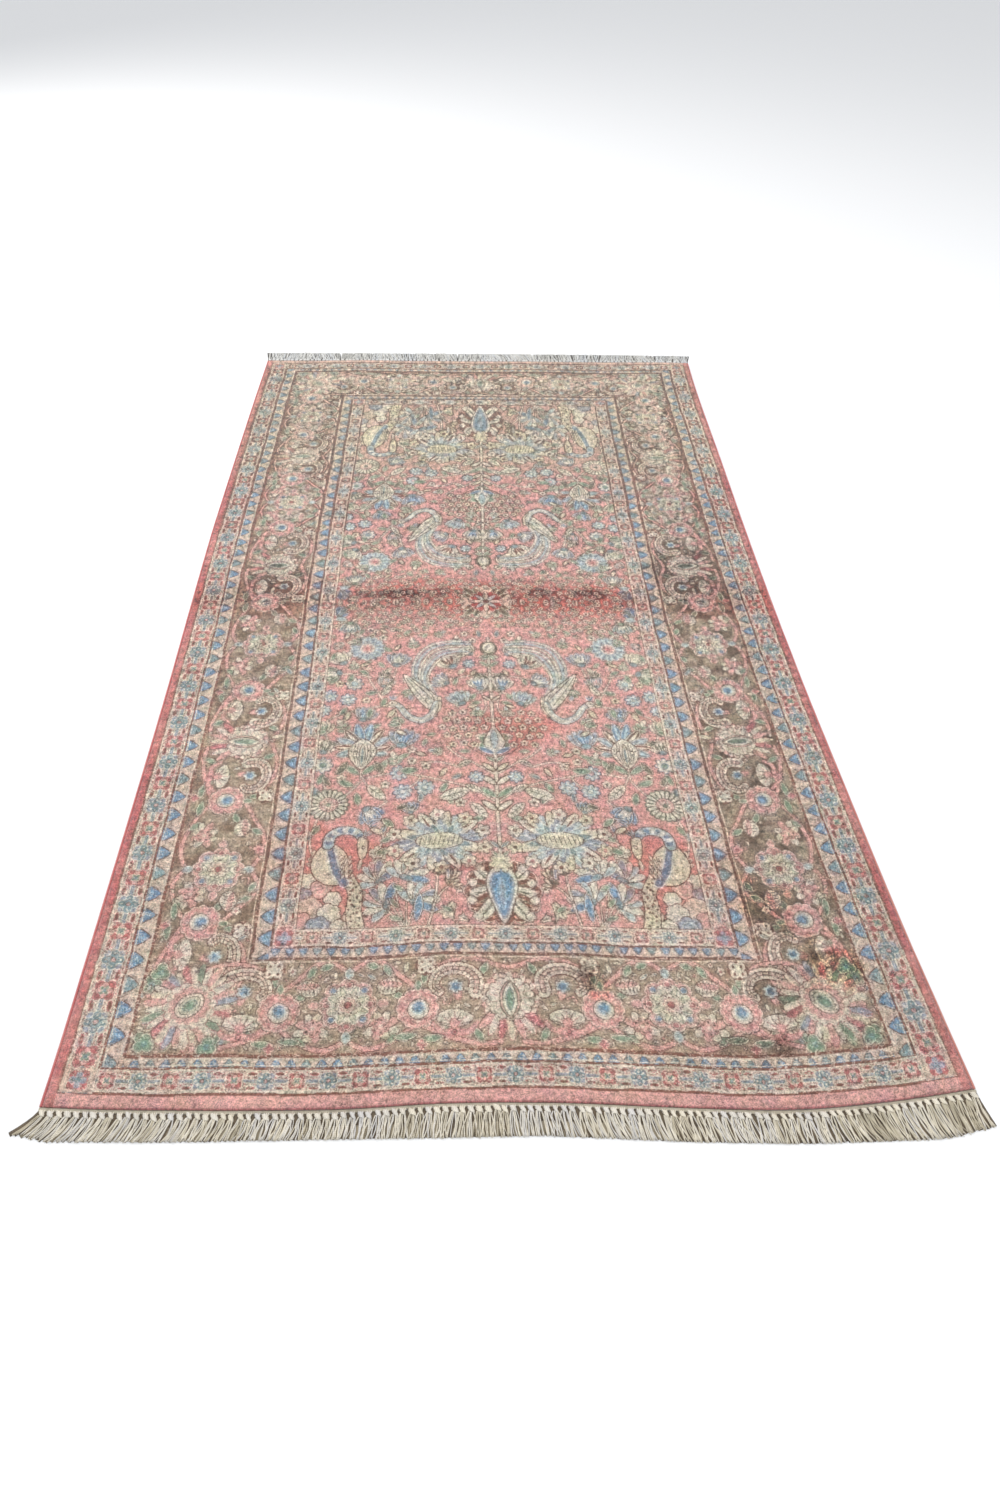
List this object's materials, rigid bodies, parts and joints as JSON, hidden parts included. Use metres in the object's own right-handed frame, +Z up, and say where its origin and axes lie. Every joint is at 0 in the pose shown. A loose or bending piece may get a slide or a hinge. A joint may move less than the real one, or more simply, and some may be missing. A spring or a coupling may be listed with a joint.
{
  "type": "pictorial silk rug",
  "caption": "Flat rectangular hand-knotted silk rug with a flower-and-bird field, wide flowered border, overcast side cords and knotted cotton fringes at both ends.",
  "frame": {"origin": "on the floor, under the middle of the whole rug's box", "axes": "+Y along the rug towards its far end, +X across it to the right, +Z up from the floor through the pile"},
  "size_m": [1.2592, 2.2532, 0.0076],
  "materials": {
    "silk_pile": "low cut silk pile with a soft sheen, knotted in coral, cream, blue, green and taupe",
    "overcast_silk": "dusty rose yarn wrapped round the side cords",
    "fringe_cotton": "undyed ecru cotton warp, flat woven and then knotted in tassels"
  },
  "bodies": {
    "root": {"rug_body": "silk_pile", "selvedge_left": "overcast_silk", "selvedge_right": "overcast_silk", "fringe_near": "fringe_cotton", "fringe_far": "fringe_cotton"}
  },
  "joints": []
}
